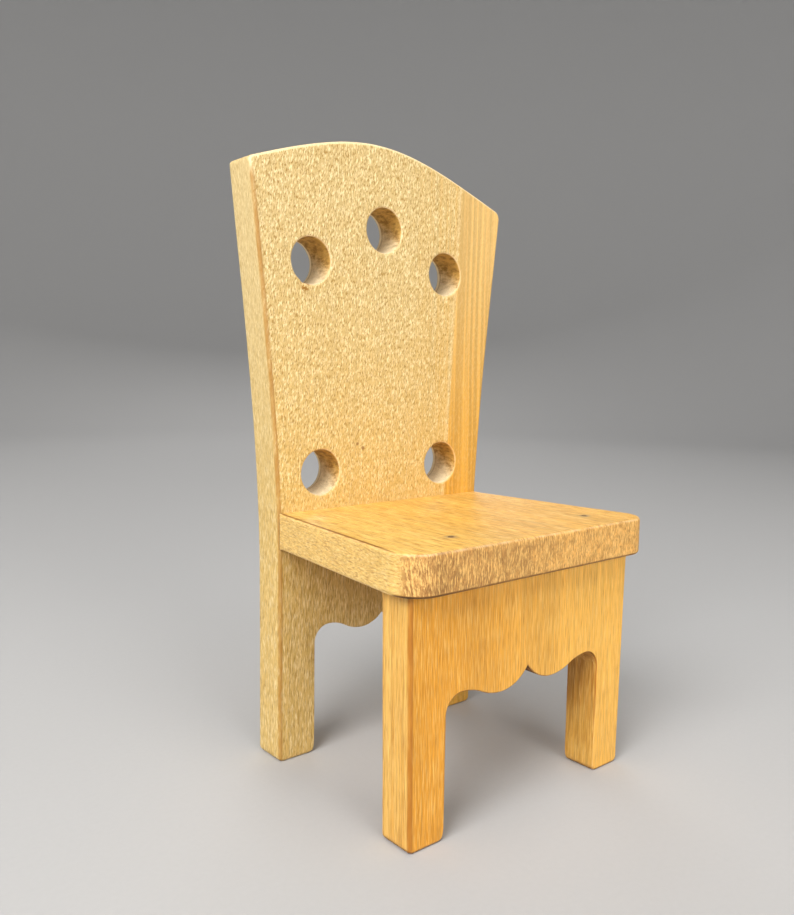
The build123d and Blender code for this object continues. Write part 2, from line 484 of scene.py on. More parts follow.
def add_piece(name, data, material, node):
    """Put a piece in the scene in place of a CAD node."""
    piece = bpy.data.objects.new(name, data)
    bpy.context.scene.collection.objects.link(piece)
    data.materials.append(material)
    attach(piece, "root")
    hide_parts(node)


def add_board(board, node, material):
    """Put a finished board in the scene in place of its CAD node."""
    name = f"{node}_wood"
    add_piece(name, board.mesh(name, settings().sawn.sanding), material(settings().wood), node)


# ---- shader building ----

class Shade:
    """A shader socket that takes part in arithmetic."""

    def __init__(self, paint, socket):
        self.paint, self.socket = paint, socket

    def math(self, operation, *values, clamp=False):
        chosen = {"operation": operation, "use_clamp": clamp}
        made = self.paint.node("ShaderNodeMath", chosen, dict(enumerate(values)))
        return Shade(self.paint, made.outputs[0])

    def __add__(self, other):
        return self.math("ADD", self, other)

    __radd__ = __add__

    def __sub__(self, other):
        return self.math("SUBTRACT", self, other)

    def __rsub__(self, other):
        return self.math("SUBTRACT", other, self)

    def __mul__(self, other):
        return self.math("MULTIPLY", self, other)

    __rmul__ = __mul__

    def __pow__(self, other):
        return self.math("POWER", self, other)

    def __abs__(self):
        return self.math("ABSOLUTE", self)

    def held(self):
        """Held between nought and one."""
        return self.math("ADD", self, 0.0, clamp=True)

    def step(self, low, high):
        """Rises smoothly from nought at low to one at high."""
        made = self.paint.node(
            "ShaderNodeMapRange", {"interpolation_type": "SMOOTHSTEP"},
            {"Value": self, "From Min": low, "From Max": high},
        )
        return Shade(self.paint, made.outputs[0])

    def line(self, centre, width):
        """One at centre, falling smoothly to nought at width on either side."""
        return 1 - abs(self - centre).step(0.0, width)


class Paint:
    """Makes the nodes of one material."""

    def __init__(self, name):
        self.material = bpy.data.materials.new(name)
        self.material.use_nodes = True
        self.tree = self.material.node_tree
        self.tree.nodes.clear()

    def node(self, kind, settings=None, values=None):
        """A node of any type, with its settings and then its inputs, which may be linked."""
        made = self.tree.nodes.new(kind)
        for key, setting in (settings or {}).items():
            setattr(made, key, setting)
        for key, value in (values or {}).items():
            if isinstance(value, Shade):
                self.tree.links.new(value.socket, made.inputs[key])
            else:
                made.inputs[key].default_value = value
        return made

    def vector(self, operation, first, second):
        made = self.node("ShaderNodeVectorMath", {"operation": operation}, {0: first, 1: second})
        return Shade(self, made.outputs["Value" if operation == "DISTANCE" else "Vector"])

    def mix(self, factor, first, second):
        """Mix two colours."""
        values = {0: factor, 6: opaque(first), 7: opaque(second)}
        return Shade(self, self.node("ShaderNodeMix", {"data_type": "RGBA"}, values).outputs[2])

    def layers(self, base, *coats):
        """Lay coats over a colour, each given as its strength and its colour."""
        for strength, coat in coats:
            base = self.mix(strength, base, coat)
        return base

    def toned(self, base, tone):
        """A colour made lighter or darker by a factor."""
        grey = self.node("ShaderNodeCombineXYZ", {}, {0: tone, 1: tone, 2: tone})
        return self.vector("MULTIPLY", base, Shade(self, grey.outputs[0]))

    def place(self):
        """Place on the object, in millimetres."""
        metres = Shade(self, self.node("ShaderNodeTexCoord").outputs["Object"])
        return self.vector("MULTIPLY", metres, (1000.0, 1000.0, 1000.0))

    def mark(self, name):
        """A value stored on the mesh."""
        made = self.node("ShaderNodeAttribute", {"attribute_name": name, "attribute_type": "GEOMETRY"})
        return Shade(self, made.outputs["Fac"])

    def noise(self, at, stretch, detail=2.0, roughness=0.5, shift=0.0):
        """Smooth noise with stretch cells per millimetre on each axis; shift picks its pattern."""
        spread = self.vector("MULTIPLY", at, stretch)
        moved = self.vector("ADD", spread, (shift, shift * 1.7, shift * 0.6))
        made = self.node("ShaderNodeTexNoise", {"noise_dimensions": "3D"},
                         {"Vector": moved, "Scale": 1.0, "Detail": detail, "Roughness": roughness})
        return Shade(self, made.outputs["Fac"])

    def finish(self, base, roughness, height, relief, specular=0.5, metallic=0.0):
        """Close the material. Relief is the bumps' depth in metres where height is one."""
        bump = self.node("ShaderNodeBump", {}, {"Height": height, "Distance": relief, "Strength": 1.0})
        shader = self.node("ShaderNodeBsdfPrincipled", {}, {
            "Base Color": base, "Roughness": roughness, "Normal": Shade(self, bump.outputs[0]),
            "Specular IOR Level": specular, "Metallic": metallic})
        output = self.node("ShaderNodeOutputMaterial")
        self.tree.links.new(shader.outputs[0], output.inputs[0])
        return self.material


def opaque(value):
    """A colour as a node's input takes it."""
    return value if isinstance(value, Shade) else (*value[:3], 1.0)


def scaled(value, factor):
    """A plain colour made lighter or darker."""
    return tuple(min(1.0, channel * factor) for channel in value[:3])


class Grain:
    """Where a point lies on a board, in millimetres, which way it faces and how it is marked."""

    def __init__(self, paint, depth, along, lean=0.0):
        """Depth and along are the axes through the board and along its grain."""
        self.paint = paint
        split = paint.node("ShaderNodeSeparateXYZ", {}, {0: paint.place()})
        axes = self.x, self.y, self.z = [Shade(paint, output) for output in split.outputs]
        self.depth, self.along = axes[depth], axes[along]
        self.across = self.x + self.along * lean
        sway = paint.noise(self.joined(self.across), (0.045, 0.045, 0.016), 1.0)
        self.at = self.joined(self.across + (sway - 0.5) * 3.0)
        normal = Shade(paint, paint.node("ShaderNodeNewGeometry").outputs["Normal"])
        split = paint.node("ShaderNodeSeparateXYZ", {}, {0: normal})
        facing = [Shade(paint, output) for output in split.outputs]
        self.turned, self.up, self.end = facing[X], facing[Z], abs(facing[along])
        marks = (paint.mark(name) for name in ("left", "sunk", "worn", "bored", "stain"))
        self.left, self.sunk, self.worn, self.bored, self.stain = marks

    def joined(self, across):
        """Coordinates across the grain, through the board and along the grain."""
        made = self.paint.node("ShaderNodeCombineXYZ", {}, {0: across, 1: self.depth, 2: self.along})
        return Shade(self.paint, made.outputs[0])

    def away(self, x, z):
        """Distance from a line that runs from front to back."""
        flat = self.paint.node("ShaderNodeCombineXYZ", {}, {0: self.x, 1: 0.0, 2: self.z})
        return self.paint.vector("DISTANCE", Shade(self.paint, flat.outputs[0]), (x, 0.0, z))

    def noise(self, across, depth, along, detail=2.0, roughness=0.5, shift=0.0):
        """Noise drawn along the gently swaying grain, with its cells per millimetre each way."""
        return self.paint.noise(self.at, (across, depth, along), detail, roughness, shift)


def flecked(paint, grain, base, look, shift=0.0, amount=1.0):
    """Long grain over a base colour: light and dark flecks, fibres and wide streaks."""
    across, along = look["fleck_across"], look["fleck_along"]
    slanted = grain.joined(grain.across - grain.along * look["fleck_lean"])
    bright = paint.noise(slanted, (across, across, along), 2.0, 0.6, 11.0 + shift).step(0.47, 0.66)
    stretch = (across * 1.15, across * 1.15, along * 1.2)
    dark = paint.noise(slanted, stretch, 2.0, 0.6, 41.0 + shift).step(0.47, 0.68)
    fibres = grain.noise(2.5, 2.5, look["fibre_along"], 2.0, 0.6, 23.0 + shift)
    streaks = grain.noise(0.55, 0.55, 0.014, 3.0, 0.6, 57.0 + shift)
    tinted = paint.layers(base, (bright * look["bright"] * amount, look["bright_colour"]),
                          (dark * look["dark"] * amount, look["dark_colour"]))
    tone = 1 + (fibres - 0.5) * look["fibre"] + (streaks - 0.5) * look["streak"]
    return paint.toned(tinted, tone), bright, dark, fibres


def end_grain(paint, grain, colours):
    """Sawn ends: mottled, darker towards the left as painted shade, with fine light rays and dark pores.
    """
    mottle = grain.noise(0.11, 0.11, 0.11, 4.0, 0.6, 71.0)
    local = grain.noise(0.40, 0.40, 0.40, 3.0, 0.6, 77.0)
    rays = grain.noise(2.6, 0.38, 0.20, 3.0, 0.65, 83.0).step(0.42, 0.64)
    pores = grain.noise(5.0, 1.1, 0.95, 2.0, 0.6, 97.0).step(0.48, 0.70)
    # Darker towards the left: painted shade that tempers the strong left lamp on the ends.
    tone = (grain.x + (mottle - 0.5) * 60).step(-34.0, 24.0)
    ends = paint.mix(tone, scaled(colours.end_grain, 0.80), END_RIGHT)
    ends = paint.toned(ends, local.step(0.34, 0.66) * 0.34 + 0.80)
    return paint.layers(ends, (rays * 0.72, END_RAY), (pores * 0.66, END_PORE)), mottle, pores


def bored_wall(paint, grain, fibres, colours):
    """Walls of the holes: torn and brown above, with painted shade on the walls that face down and
    deeper in, cleanly cut and pale below, with painted light on the walls that face up, and a fine line
    at the rear.
    """
    rough = grain.noise(0.75, 0.40, 0.75, 3.0, 0.7, 131.0)
    # Walls that face down, and all walls deeper in, take the dark torn colour: painted shade over real
    # torn fibres.
    faces_down_shade = (grain.up + (rough - 0.5) * 1.3 + grain.sunk * 0.09).step(1.35, 0.0)
    torn = paint.mix(rough.step(0.32, 0.62), scaled(colours.bored, 0.65), TORN_FIBRE)
    # The clean colour is pale: painted light on the walls that face up.
    lit_clean = paint.mix(fibres.step(0.35, 0.65) * 0.5, colours.lit_cut_wall, scaled(colours.lit_cut_wall, 0.72))
    wall = paint.layers(lit_clean, (faces_down_shade, torn), (grain.sunk.line(8.7, 0.4) * 0.5, RIM_SHADE),
                        (grain.sunk.step(8.9, 9.4) * 0.8, RIM_PALE))
    return wall, rough


def board_finish(paint, grain, flecks, colours, look, lines, line_colour):
    """Ends, bored walls, worn arrises and brown lines over long grain, then roughness and relief.

    Flecks are what flecked gives. Lines are one where they show plainly, and two where they are
    nearly black.
    """
    long_grain, bright, dark, fibres = flecks
    ends, mottle, pores = end_grain(paint, grain, colours)
    is_end = (grain.end + (mottle - 0.5) * 0.5).step(0.12, 0.62)
    wall, rough_wall = bored_wall(paint, grain, fibres, colours)
    patches = grain.noise(0.35, 0.35, 0.35, 3.0, 0.6, 149.0).step(0.25, 0.65)
    wear = grain.worn ** 5 * patches * (1 - lines).held() * look["wear"]
    broken = lines * (grain.noise(0.5, 0.5, 0.12, 2.0, 0.6, 163.0).step(0.25, 0.60) * 0.4 + 0.6)
    # Lines above one turn nearly black: scorch and stain, and painted shade under the seat's front and
    # in the leg board's notch. The brad holes darken here too.
    nearly_black = ((broken - 1).held() + grain.stain).held()
    base = paint.layers(
        long_grain, (is_end * look["ends"], ends), (grain.bored * 0.95, wall),
        (wear.held(), colours.worn), (broken.held(), line_colour),
        (nearly_black, scaled(line_colour, 0.25)))
    roughness = look["gloss"] + 0.10 * fibres + 0.14 * is_end + 0.22 * grain.bored - 0.05 * bright
    height = fibres * 0.5 + bright * 0.3 - dark * 0.5
    height = height - pores * is_end * 0.9 + rough_wall * grain.bored * 3.0
    return paint.finish(base, roughness.held(), height, 0.05 * MM, specular=0.40)


# Linear colours that vary the main ones.
END_RIGHT, END_RAY, END_PORE = (0.70, 0.365, 0.09), (1.0, 0.62, 0.20), (0.22, 0.08, 0.015)
TORN_FIBRE, RIM_SHADE, RIM_PALE = (0.62, 0.355, 0.075), (0.35, 0.19, 0.06), (1.0, 0.88, 0.60)
STRIP_TOP, STRIP_FLECK, STRIP_GLEAM = (0.77, 0.49, 0.165), (0.45, 0.20, 0.03), (1.0, 0.8, 0.4)
# The second and third tints here are painted light: a paler left-facing side and a highlight on the
# crest's arrises.
STRIP_BORDER, LEFT_SIDE_LIGHT, CREST_HIGHLIGHT = (0.98, 0.82, 0.5), (1.0, 0.80, 0.42), (1.0, 0.84, 0.50)
SEAT_BAND, SEAT_LEFT, SEAT_SIDE = (0.95, 0.66, 0.26), (0.92, 0.66, 0.20), (0.78, 0.52, 0.18)
TICK_DARK, TICK_PALE = (0.50, 0.25, 0.05), (1.0, 0.76, 0.34)
# Both tints are painted light: a paler right of the front and a paler left-facing side.
LEG_LIT_RIGHT, LEG_LEFT_SIDE_LIGHT = (0.85, 0.46, 0.08), (0.84, 0.49, 0.115)
# The upper inner colour is painted shade under the apron.
INNER_LOW, INNER_HIGH_SHADE = (0.62, 0.33, 0.06), (0.35, 0.135, 0.012)
# The line colours of the back and the legs serve stain and scorch, and painted shade as well.
BACK_STAIN_AND_SHADE, LEG_SCORCH_AND_SHADE, RUST = (0.39, 0.185, 0.028), (0.42, 0.155, 0.012), (0.13, 0.055, 0.02)

SPECKS = (-10.2, 83.8, 0.42), (-8.3, 82.6, 0.5)       # x, z and radius, in millimetres

# Flecks and fibres in cells per millimetre, and the strength of each part of the pattern.
LONG_GRAIN = {
    "fleck_across": 2.6, "fleck_along": 0.80, "fleck_lean": 0.0, "fibre_along": 0.14,
    "bright": 0.82, "bright_colour": (1.0, 0.84, 0.48), "dark": 0.90, "dark_colour": (0.37, 0.19, 0.022),
    "fibre": 0.30, "streak": 0.18, "ends": 1.0, "wear": 0.35, "gloss": 0.46,
}
BACK_GRAIN = {**LONG_GRAIN, "fleck_lean": 0.14, "ends": 0.12}
LOW_GRAIN = {**BACK_GRAIN, "fleck_across": 3.0, "fleck_along": 0.36, "fleck_lean": 0.03, "dark": 0.75,
             "bright": 0.6}
SEAT_GRAIN = {**LONG_GRAIN, "fleck_across": 2.8, "fleck_along": 0.17, "bright": 0.50, "dark": 1.0,
              "bright_colour": (1.0, 0.74, 0.30), "dark_colour": (0.46, 0.19, 0.025), "fibre": 0.75,
              "fibre_along": 0.05, "streak": 0.50, "wear": 0.5, "gloss": 0.38}
LEG_GRAIN = {**LONG_GRAIN, "fleck_across": 4.2, "fleck_along": 0.15, "bright": 0.44, "dark": 0.50,
             "bright_colour": (1.0, 0.67, 0.22), "dark_colour": (0.38, 0.13, 0.0), "fibre": 0.70,
             "fibre_along": 0.06, "streak": 0.30, "gloss": 0.42, "wear": 0.2}


def back_wood(colours):
    """Short flecks up high and drawn-out grain below, with a strip of heartwood at the right, painted
    light on the left-facing side and a painted highlight along the crest.
    """
    paint = Paint("back_wood")
    grain = Grain(paint, Y, Z)
    rise = (grain.z + grain.noise(0.06, 0.06, 0.02, 2.0, 0.5, 5.0) * 22).step(58.0, 160.0)
    base = paint.mix(rise, colours.warm, colours.pale)
    short_grain, bright, dark, fibres = flecked(paint, grain, base, BACK_GRAIN, 0.0, rise * 0.25 + 0.75)
    drawn_out = flecked(paint, grain, base, LOW_GRAIN, 13.0)[0]
    faces_left = grain.turned.step(-0.5, -0.9)
    is_drawn = (grain.z.step(74.0, 52.0) + faces_left * 0.75).held()
    long_grain = paint.mix(is_drawn, short_grain, drawn_out)
    tones = grain.noise(1.0, 1.0, 0.008, 3.0, 0.6, 37.0).step(0.38, 0.62)
    long_grain = paint.mix(tones * grain.x.step(4.0, 26.0) * 0.35, long_grain, colours.strip)
    for x, z, radius in SPECKS:
        speck = grain.away(x, z).step(radius * 1.5, radius * 0.5)
        long_grain = paint.mix(speck * 0.85, long_grain, colours.stain)
    strip_edge = grain.x - (grain.z - 67.0) * 0.0573 - 22.6
    strip_lines = grain.noise(0.9, 0.9, 0.008, 3.0, 0.65, 29.0)
    strip = paint.mix(grain.z.step(66.0, 150.0), scaled(colours.strip, 0.92), STRIP_TOP)
    strip = paint.toned(strip, strip_lines.step(0.34, 0.66) * 0.36 + 0.82)
    strip = paint.layers(strip, (dark * 0.18, STRIP_FLECK), (bright * 0.14, STRIP_GLEAM))
    long_grain = paint.layers(
        long_grain, (strip_edge.step(-0.3, 0.3), strip),
        (strip_edge.line(-0.9, 0.9) * 0.22, STRIP_BORDER),
        # The left-facing side is made paler: painted light.
        (faces_left * (rise * 0.16 + 0.04), LEFT_SIDE_LIGHT),
        # A painted highlight along the crest's arrises.
        (grain.worn * grain.z.step(147.0, 155.0) * 0.7, CREST_HIGHLIGHT))
    # A brown line along the left front arris: partly stain, partly painted shade on the rounded arris.
    front_side = grain.left.step(1.25, 0.8) * grain.sunk.step(0.8, 0.4)
    chipped = grain.away(-27.3, 125.0).step(2.4, 0.9)
    torn_rim = grain.noise(0.9, 0.9, 0.9, 2.0, 0.6, 43.0).step(0.40, 0.54) * grain.sunk.step(2.0, 1.0)
    lines = front_side * grain.z.step(154.0, 150.0) * 0.85 + chipped * torn_rim * 1.2
    flecks = (long_grain, bright, dark, fibres)
    return board_finish(paint, grain, flecks, colours, BACK_GRAIN, lines, BACK_STAIN_AND_SHADE)


def seat_wood(colours):
    """Golden long grain from back to front, ticked sides and dark lines along two arrises: partly stain
    and partly painted shade along the left top arris, and painted shade under the front.
    """
    paint = Paint("seat_wood")
    grain = Grain(paint, Z, Y, lean=0.05)
    bands = grain.noise(0.10, 0.10, 0.004, 3.0, 0.55, 3.0)
    base = paint.mix(bands.step(0.36, 0.64), scaled(colours.seat, 0.90), scaled(colours.seat, 1.08))
    pale = grain.noise(0.3, 0.3, 0.01, 2.0, 0.5, 7.0).step(0.5, 0.75)
    base = paint.layers(base, (pale * 0.3, SEAT_BAND), (grain.x.step(0.0, -40.0) * 0.4, SEAT_LEFT))
    long_grain, bright, dark, fibres = flecked(paint, grain, base, SEAT_GRAIN, 5.0)
    is_side = abs(grain.turned).step(0.6, 0.95)
    ticks = grain.noise(2.4, 2.4, 0.85, 2.0, 0.6, 61.0)
    long_grain = paint.layers(
        long_grain, (is_side * 0.40, SEAT_SIDE), (ticks.step(0.5, 0.68) * is_side * 0.30, TICK_DARK),
        (ticks.step(0.5, 0.32) * is_side * 0.5, TICK_PALE))
    # A brown line along the left top arris: partly stain, partly painted shade on the rounded arris.
    side_line = grain.left.line(0.55, 0.42) * grain.sunk.step(0.5, 0.2) * grain.y.step(-31.0, -24.0)
    at_corner = grain.x.line(-38.0, 16.0) * 0.6 + 0.6
    # A dark line along the lower front arris, strongest at the left corner: painted shade under the
    # seat's front.
    front_shade_line = grain.sunk.step(8.7, 9.05) * grain.y.step(-27.0, -30.0) * at_corner
    lines = side_line * 1.3 + front_shade_line * 1.6
    flecks = (long_grain, bright, dark, fibres)
    return board_finish(paint, grain, flecks, colours, SEAT_GRAIN, lines, colours.stain)


def leg_wood(colours):
    """Upright long grain, paler to the right and on the left side as painted light, with brown inner
    faces darker upwards as painted shade, and undersides and notch darkened by scorch and painted shade.
    """
    paint = Paint("leg_wood")
    grain = Grain(paint, Y, Z, lean=0.012)
    bands = grain.noise(0.09, 0.09, 0.004, 3.0, 0.55, 15.0)
    # Paler to the right and darker to the left: a painted gradient of light across the front.
    base = paint.mix(grain.x.step(-34.0, 30.0), colours.legs, LEG_LIT_RIGHT)
    base = paint.toned(base, bands.step(0.35, 0.65) * 0.12 + 0.94)
    faces_left = grain.turned.step(-0.5, -0.9)
    side_bands = grain.noise(0.2, 0.9, 0.006, 2.0, 0.6, 19.0).step(0.38, 0.62)
    # The left-facing outer side is made paler: painted light.
    outer = faces_left * grain.x.step(-28.0, -32.0)
    from_middle = abs(grain.x)
    # The inner faces of the legs are brown and streaked from the saw, and darker upwards towards the
    # apron as painted shade.
    inner = abs(grain.turned).step(0.5, 0.9) * from_middle.step(30.0, 28.0)
    inner_shade_tone = paint.mix(grain.z.step(2.0, 28.0), INNER_LOW, INNER_HIGH_SHADE)
    base = paint.layers(base, (outer * (side_bands * 0.5 + 0.5), LEG_LEFT_SIDE_LIGHT),
                        (inner * (side_bands * 0.4 + 0.5), inner_shade_tone))
    # A brown line along the left front arris: partly stain, partly painted shade on the rounded arris.
    side_line = grain.left.step(1.3, 0.8) * grain.sunk.step(0.95, 0.4)
    # Faces that point down and the walls of the notch between the lobes are darkened: saw scorch, with
    # painted shade under the apron and in the notch.
    notch = from_middle.step(6.0, 4.0) * grain.sunk.step(0.2, 0.5)
    scorch_and_shade = grain.up.step(-0.15, -0.6) * 0.6 + notch * 1.6
    arches = from_middle.step(19.0, 23.0) * from_middle.step(29.0, 27.0) * grain.z.step(8.0, 24.0)
    lines = side_line + scorch_and_shade + grain.worn * arches * 1.2
    flecks = flecked(paint, grain, base, LEG_GRAIN, 9.0)
    return board_finish(paint, grain, flecks, colours, LEG_GRAIN, lines, LEG_SCORCH_AND_SHADE)


def brad_steel(colours):
    """Dark, lightly scratched steel with specks of rust."""
    paint = Paint("brad_steel")
    place = paint.place()
    rust = paint.noise(place, (2.4, 2.4, 2.4), 3.0, 0.6, 3.0)
    scratches = paint.noise(place, (9.0, 9.0, 1.5), 2.0, 0.5, 9.0)
    base = paint.mix(rust.step(0.45, 0.65), colours.brad, RUST)
    return paint.finish(base, 0.38 + rust * 0.3, scratches + rust * 0.8, 0.02 * MM, metallic=0.75)


# ---- the chair's pieces ----

def rim_rounds(size, seed, chips=()):
    """Round of a hole's rim at each point: slightly uneven, with tear-out chips.

    Each chip has a middle and a width in degrees, and how much it adds to the round.
    """
    angles = np.linspace(0, 360, HOLE_POINTS, endpoint=False)
    uneven = np.array([
        noise.noise(Vector((math.cos(turned) * 2.2, math.sin(turned) * 2.2, seed)))
        for turned in np.radians(angles)])
    rounds = size * (1 + 0.28 * uneven)
    for middle, width, extra in chips:
        away = np.abs((360 - angles - middle + 180) % 360 - 180)
        rounds = rounds + extra * np.exp(-((away / width) ** 2))
    return rounds


def flare(sizes, side, corner):
    """A side of the back board, from the top of its upright part out to its shoulder."""
    half, shoulder = sizes.foot_width / 2, sizes.shoulder_width / 2
    lean = math.atan2(sizes.flare_curve * (shoulder - half), corner[1] - sizes.flare_start)
    start = (side * half, sizes.flare_start)
    return spline([start, corner], (0, 1), (side * math.sin(lean), math.cos(lean)))


def back_holes(sizes, crown, seat_top):
    """Middles of the five holes."""
    holes = [(sizes.crest_hole_shift, crown - sizes.crest_hole_drop)]
    for side in (-1, 1):
        holes.append((sizes.upper_shift + side * sizes.upper_spacing / 2, crown - sizes.upper_drop))
        holes.append((sizes.lower_shift + side * sizes.lower_spacing / 2, seat_top + sizes.lower_rise))
    return holes


class CHAIR_OT_back(bpy.types.Operator):
    """Build the back board with its rear legs, holes and crest"""
    bl_idname = "chair.back"
    bl_label = "Back Board"

    def execute(self, context):
        sizes, sawn = settings().back, settings().sawn
        low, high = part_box("back_board")
        seat_low, seat_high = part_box("seat_board")
        crown, lobe_z = high.z, seat_low.z - sizes.apron_depth
        half, shoulder = sizes.foot_width / 2, sizes.shoulder_width / 2
        inner = half - sizes.leg_width
        left, right = (-shoulder, crown - sizes.left_drop), (shoulder, crown - sizes.right_drop)
        rise, fall = sizes.left_slope, -sizes.right_slope
        crest = spline([left, (sizes.crown_shift, crown), right],
                       (math.cos(rise), math.sin(rise)), (math.cos(fall), math.sin(fall)))
        strokes = [
            *feet(half, inner, lobe_z, sawn),
            (straight((half, 0), (half, sizes.flare_start)), sawn.foot_round),
            (flare(sizes, 1, right), 0),
            (crest[::-1], sizes.right_round),
            (flare(sizes, -1, left)[::-1], sizes.left_round),
            (straight((-half, sizes.flare_start), (-half, 0)), 0),
        ]
        outline = closed_outline(strokes)
        left_side = [(-half, 0.0), *flare(sizes, -1, left)]
        board = Board(high.y - low.y, lambda u, v, w: (u, low.y + w, v), 1, left_side)
        rounds = arris_rounds(outline, inner, lobe_z, sawn)
        board.edge(outline, rounds, rounds, sawn.roughness)
        for k, (x, z) in enumerate(back_holes(sizes, crown, seat_high.z)):
            chips = ((247, 8, 0.75 * MM), (264, 5, 0.35 * MM)) if k == 1 else ()
            loop = circle(x, z, sizes.hole_diameter / 2, HOLE_POINTS)
            front, rear = rim_rounds(sawn.rim, 3.1 * k, chips), rim_rounds(sawn.rim, 3.1 * k + 40)
            board.edge(loop, front, rear, 2 * sawn.roughness, bored=1.0, handled=1.15)
        for place in brad_places("back_brads", Y):
            board.brad_bore(place.x, place.z, *brad_hole_sizes("back_brads", Y, high.y, sawn), False)
        add_board(board, "back_board", back_wood)
        return {"FINISHED"}


class CHAIR_OT_seat(bpy.types.Operator):
    """Build the seat board with its rounded front corners"""
    bl_idname = "chair.seat"
    bl_label = "Seat Board"

    def execute(self, context):
        sizes, sawn = settings().seat, settings().sawn
        low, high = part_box("seat_board")
        rear, front = settings().back.foot_width / 2, sizes.front_width / 2
        strokes = [
            (straight((-front, low.y), (front, low.y)), sizes.corner_round),
            (straight((front, low.y), (rear, high.y)), sizes.corner_round),
            (straight((rear, high.y), (-rear, high.y)), 0),
            (straight((-rear, high.y), (-front, low.y)), 0),
        ]
        outline = closed_outline(strokes)
        left_side = [(-front, low.y), (-rear, high.y)]
        board = Board(high.z - low.z, lambda u, v, w: (u, v, high.z - w), 2, left_side)
        at_joint = near_joint(outline, high.y)
        rounds = sawn.arris * 1.05 * (1 - at_joint) + sawn.joint_arris * at_joint
        board.edge(outline, rounds, rounds, sawn.roughness)
        for place in brad_places("seat_brads", Z):
            board.brad_bore(place.x, place.y, *brad_hole_sizes("seat_brads", Z, high.z, sawn), True)
        add_board(board, "seat_board", seat_wood)
        return {"FINISHED"}


class CHAIR_OT_legs(bpy.types.Operator):
    """Build the front leg board with its scalloped apron"""
    bl_idname = "chair.legs"
    bl_label = "Front Leg Board"

    def execute(self, context):
        sizes, sawn = settings().legs, settings().sawn
        low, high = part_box("front_leg_board")
        top, lobe_z = high.x, high.z - sizes.apron_depth
        foot = top - sizes.taper
        inner = foot - sizes.leg_width
        strokes = [
            *feet(foot, inner, lobe_z, sawn),
            (straight((foot, 0), (top, high.z)), sawn.foot_round),
            (straight((top, high.z), (-top, high.z)), 0),
            (straight((-top, high.z), (-foot, 0)), 0),
        ]
        outline = closed_outline(strokes)
        left_side = [(-foot, 0.0), (-top, high.z)]
        board = Board(high.y - low.y, lambda u, v, w: (u, low.y + w, v), 3, left_side)
        at_joint = near_joint(outline, high.z)
        rounds = arris_rounds(outline, inner, lobe_z, sawn)
        rounds = rounds * (1 - at_joint) + sawn.joint_arris * at_joint
        board.edge(outline, rounds, rounds, sawn.roughness)
        add_board(board, "front_leg_board", leg_wood)
        return {"FINISHED"}


def head_radius(node, axis):
    """Radius of the heads of a node's brads, which point along the axis."""
    low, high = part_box(node)
    return (high[3 - axis] - low[3 - axis]) / 2


def brad_places(node, axis):
    """Middles of the two brad heads of a node."""
    low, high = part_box(node)
    cross, radius = 3 - axis, head_radius(node, axis)
    places = []
    for x in (low.x + radius, high.x - radius):
        place = Vector((x, 0.0, 0.0))
        place[cross] = (high[cross] + low[cross]) / 2
        place[axis] = high[axis]
        places.append(place)
    return places


def brad_hole_sizes(node, axis, surface, sawn):
    """Radii for the head and the shank, and how deep the step between them lies."""
    head, gap = head_radius(node, axis), sawn.brad_clearance
    return head + gap, head * SHANK_SHARE + gap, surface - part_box(node)[1][axis] + HEAD_HEIGHT


def brad_mesh(name, node, axis):
    """Two turned brads with a slightly domed, hammer-marked head, a shank and a point."""
    low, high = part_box(node)
    reach, head = high[axis] - low[axis], head_radius(node, axis)
    shank = head * SHANK_SHARE
    profile = [
        (0.35 * head, 0.02 * MM), (0.7 * head, 0.035 * MM), (0.9 * head, 0.08 * MM), (head, 0.17 * MM),
        (head, HEAD_HEIGHT - 0.08 * MM), (0.96 * head, HEAD_HEIGHT), (shank, HEAD_HEIGHT + 0.06 * MM),
        (shank, reach / 2), (shank, reach - BRAD_TIP), (0.45 * shank, reach - 0.45 * MM),
    ]
    vertices, faces = [], []

    def add(place, across, other, depth):
        at = place.copy()
        at.x += across
        at[3 - axis] += other
        at[axis] -= depth
        vertices.append(at)

    for place in brad_places(node, axis):
        top = len(vertices)
        add(place, 0.0, 0.0, 0.03 * MM)
        for radius, depth in profile:
            for k in range(BRAD_TURNS):
                angle = 2 * math.pi * k / BRAD_TURNS
                spot = Vector((place.x * 900 + k * 0.4, depth * 4000, 1.0))
                dent = 0.015 * MM * noise.noise(spot)
                add(place, radius * math.cos(angle), radius * math.sin(angle), depth + dent)
        add(place, 0.0, 0.0, reach)
        tip = len(vertices) - 1
        for k in range(BRAD_TURNS):
            j = (k + 1) % BRAD_TURNS
            faces.append((top, top + 1 + k, top + 1 + j))
            for upper in range(top + 1, tip - BRAD_TURNS, BRAD_TURNS):
                lower = upper + BRAD_TURNS
                faces.append((upper + k, lower + k, lower + j, upper + j))
            last = tip - BRAD_TURNS
            faces.append((last + k, tip, last + j))
    if axis == Y:
        faces = [face[::-1] for face in faces]
    data = bpy.data.meshes.new(name)
    data.from_pydata(vertices, [], faces)
    data.shade_smooth()
    data.update()
    return data


class CHAIR_OT_brads(bpy.types.Operator):
    """Build the brads that hold the seat to the legs and the back"""
    bl_idname = "chair.brads"
    bl_label = "Brads"

    def execute(self, context):
        steel = brad_steel(settings().wood)
        for node, axis in (("seat_brads", Z), ("back_brads", Y)):
            name = f"{node}_steel"
            add_piece(name, brad_mesh(name, node, axis), steel, node)
        return {"FINISHED"}


# ---- stage ----

CAMERA_PLACE = (-0.1523, -0.1623, 0.1050)
CAMERA_TURN = 39.92     # degrees from straight ahead towards the right
CAMERA_TILT = -6.04     # degrees above the horizon
CAMERA_ROLL = 0.83
LENS, SENSOR = 33.87, 36.0      # millimetres

